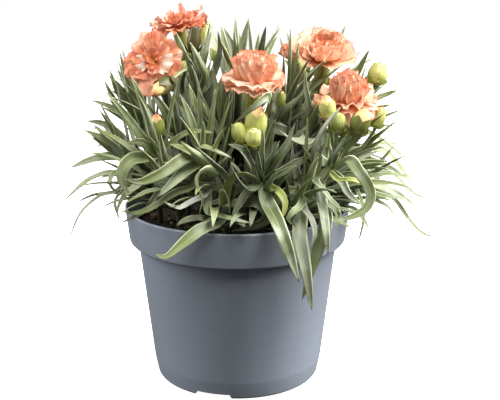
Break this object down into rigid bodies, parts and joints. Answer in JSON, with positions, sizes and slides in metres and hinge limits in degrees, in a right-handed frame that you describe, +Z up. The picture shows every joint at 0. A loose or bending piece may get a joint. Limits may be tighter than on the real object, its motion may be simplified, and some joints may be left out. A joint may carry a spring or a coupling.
{
  "type": "potted plant",
  "caption": "Dwarf carnation plant with ruffled double flowers, buds and arching narrow leaves, growing in a tapered round plastic pot with a stepped collar.",
  "frame": {"origin": "centre of the pot's underside, on the surface it stands on", "axes": "+Z up along the pot's axis, -Y towards the side the plant is viewed from"},
  "size_m": [0.2126, 0.1965, 0.2152],
  "materials": {
    "pot_plastic": "smooth moulded blue-grey plastic with a soft sheen",
    "peat": "crumbly dark peat with bark chips and a little moss",
    "leaf_green": "waxy grey-green leaves and stems with fine lengthwise veins",
    "bud_green": "smooth yellow-green calyxes and buds",
    "petal": "thin salmon-orange petals, paler at the base and edges"
  },
  "bodies": {
    "root": {"bud_1": "bud_green", "bud_10": "bud_green", "bud_11": "bud_green", "bud_12": "bud_green", "bud_13": "bud_green", "bud_14": "bud_green", "bud_15": "bud_green", "bud_2": "bud_green", "bud_3": "bud_green", "bud_4": "bud_green", "bud_5": "bud_green", "bud_6": "bud_green", "bud_7": "bud_green", "bud_8": "bud_green", "bud_9": "bud_green", "calyx_1": "bud_green", "calyx_2": "bud_green", "calyx_3": "bud_green", "calyx_4": "bud_green", "calyx_5": "bud_green", "calyx_6": "bud_green", "corolla_1": "petal", "corolla_2": "petal", "corolla_3": "petal", "corolla_4": "petal", "corolla_5": "petal", "corolla_6": "petal", "flower_stem_1": "leaf_green", "flower_stem_2": "leaf_green", "flower_stem_3": "leaf_green", "flower_stem_4": "leaf_green", "flower_stem_5": "leaf_green", "flower_stem_6": "leaf_green", "pot": "pot_plastic", "shoot_front": "leaf_green", "shoot_front_left": "leaf_green", "shoot_front_right": "leaf_green", "shoot_left": "leaf_green", "shoot_left_front": "leaf_green", "shoot_left_rear": "leaf_green", "shoot_low_far_right": "leaf_green", "shoot_low_left": "leaf_green", "shoot_low_right": "leaf_green", "shoot_middle": "leaf_green", "shoot_middle_left": "leaf_green", "shoot_rear_left": "leaf_green", "shoot_rear_low": "leaf_green", "shoot_rear_middle": "leaf_green", "shoot_rear_right": "leaf_green", "shoot_right": "leaf_green", "shoot_right_middle": "leaf_green", "shoot_right_rear": "leaf_green", "shoot_top_left": "leaf_green", "shoot_top_middle": "leaf_green", "shoot_top_right": "leaf_green", "soil": "peat"}
  },
  "joints": []
}
